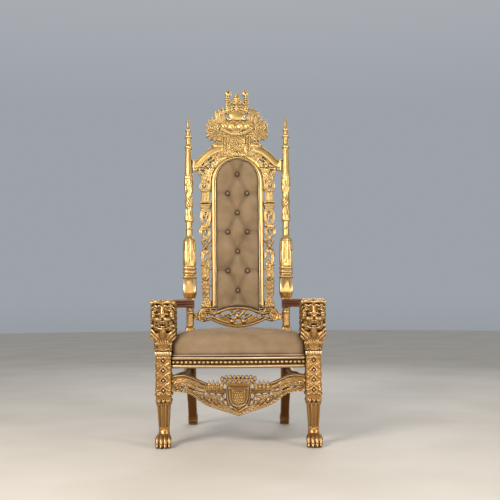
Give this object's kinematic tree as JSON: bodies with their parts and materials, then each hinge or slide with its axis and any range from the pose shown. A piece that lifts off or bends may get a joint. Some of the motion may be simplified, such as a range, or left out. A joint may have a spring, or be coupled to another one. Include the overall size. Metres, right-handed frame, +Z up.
{
  "type": "throne",
  "caption": "Tall gilded throne with lion-headed front legs, turned posts, pierced carved crest and apron, and a tufted velvet back and seat.",
  "frame": {"origin": "on the floor, midway between the throne's sides and between the front of its paws and its rear heels", "axes": "+Z up, the throne faces -Y, and +X is to the right as the throne is seen from its front"},
  "size_m": [0.8168, 0.7601, 1.8364],
  "materials": {
    "gold": "gold leaf over carved wood, satin, with brown patina in the recesses",
    "velvet": "short-pile tan velvet"
  },
  "bodies": {
    "root": {"front_leg_left": "gold", "front_leg_right": "gold", "arm_left": "gold", "arm_right": "gold", "rear_stile_left": "gold", "rear_stile_right": "gold", "side_rail_left": "gold", "side_rail_right": "gold", "side_apron_left": "gold", "side_apron_right": "gold", "fretwork_left": "gold", "fretwork_right": "gold", "front_rail": "gold", "back_rail": "gold", "back_frame": "gold", "lower_back_rail": "gold", "crest": "gold", "front_apron": "gold", "seat_cushion": "velvet", "back_pad": "velvet", "back_cover": "velvet", "button_01": "velvet", "button_02": "velvet", "button_03": "velvet", "button_04": "velvet", "button_05": "velvet", "button_06": "velvet", "button_07": "velvet", "button_08": "velvet", "button_09": "velvet", "button_10": "velvet"}
  },
  "joints": []
}
